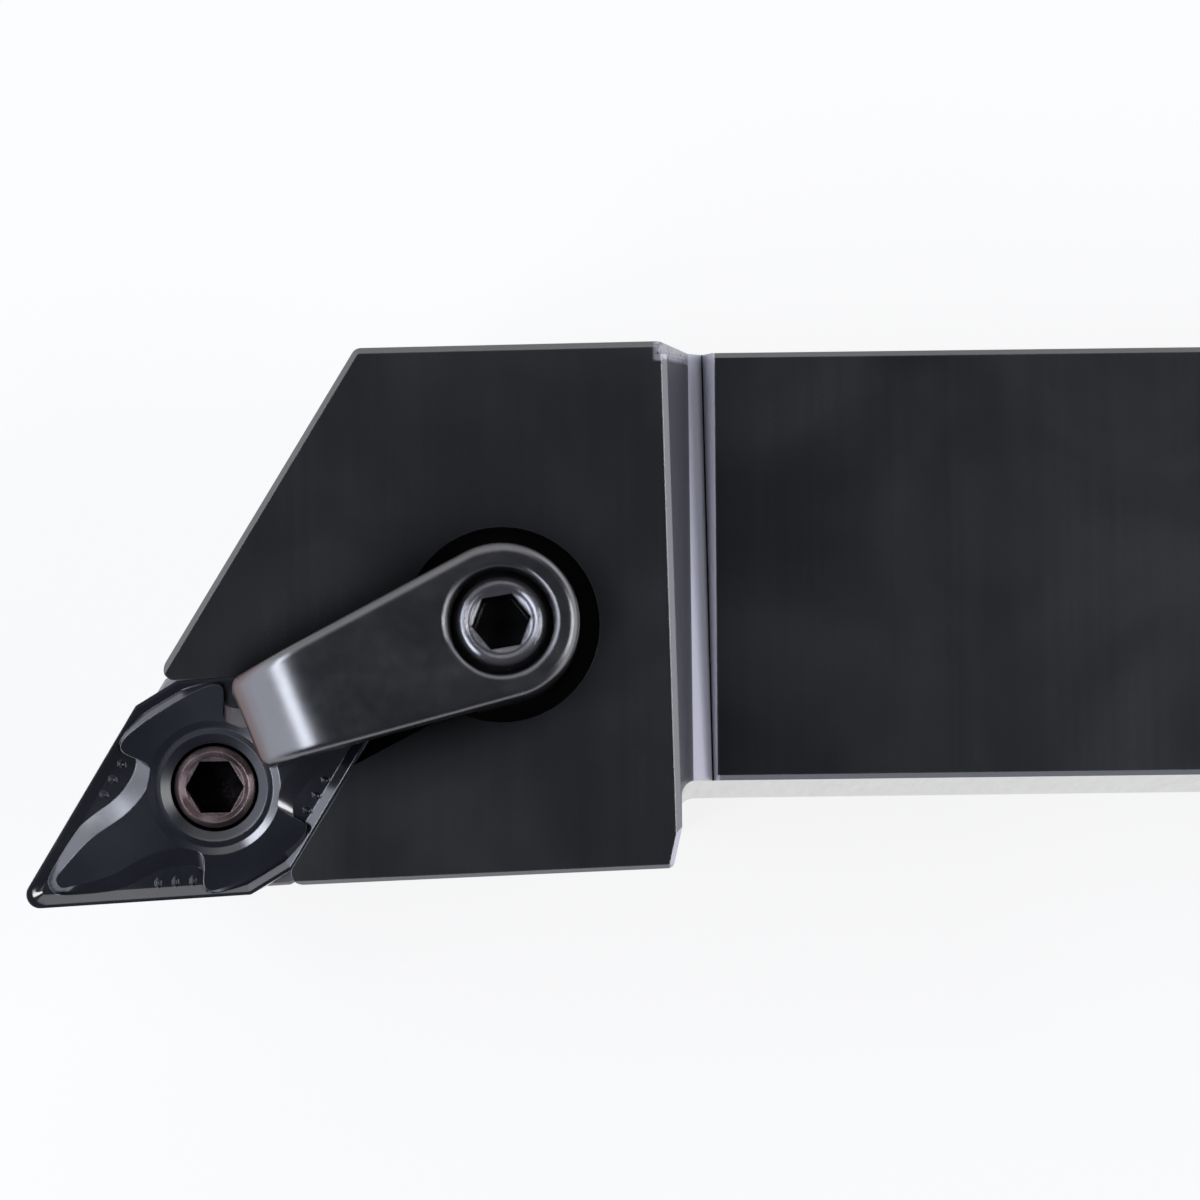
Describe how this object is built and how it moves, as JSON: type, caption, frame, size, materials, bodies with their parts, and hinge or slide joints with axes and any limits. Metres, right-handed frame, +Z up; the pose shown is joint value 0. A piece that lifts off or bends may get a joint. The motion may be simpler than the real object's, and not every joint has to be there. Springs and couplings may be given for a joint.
{
  "type": "turning tool holder",
  "caption": "Right-hand external turning tool holder: square shank, milled head, rhombic insert held by a lock pin and a top clamp.",
  "frame": {"origin": "middle of the shank's base face, halfway along the tool's overall length", "axes": "+X along the shank from the cutting nose to the rear end, +Y to the back of the shank away from the nose, +Z up"},
  "size_m": [0.15, 0.0325, 0.0318],
  "materials": {
    "blackened_steel": "black oxide, satin, bright at worn edges",
    "ground_carbide": "ground, satin",
    "coated_carbide": "glossy dark blue-black hard coating",
    "bronzed_steel": "brown tempered, satin",
    "forged_steel": "black oxide over forged skin, satin",
    "screw_steel": "black oxide"
  },
  "bodies": {
    "holder": {"holder_body": "blackened_steel", "shim_seat": "ground_carbide", "cutting_insert": "coated_carbide"},
    "screw": {"clamp_screw": "screw_steel"},
    "clamp": {"top_clamp": "forged_steel"},
    "pin": {"lock_pin": "bronzed_steel"}
  },
  "joints": [
    {"name": "clamp_screw_turn", "type": "hinge", "parent": "holder", "child": "screw", "pos_m": [-0.0471, -0.00345, 0.02], "axis": [0, 0, 1], "range_deg": [0, 720]},
    {"name": "clamp_lift", "type": "slide", "parent": "holder", "child": "clamp", "axis": [0, 0, 1], "range_m": [0, 0.004]},
    {"name": "lock_pin_turn", "type": "hinge", "parent": "holder", "child": "pin", "pos_m": [-0.06395, -0.01266, 0.027], "axis": [-0.104, -0.104, 0.9891], "range_deg": [0, 720]}
  ],
  "couplings": [
    {"joint": "clamp_screw_turn", "follows": "clamp_lift", "rad_per_m": 3141.6}
  ]
}
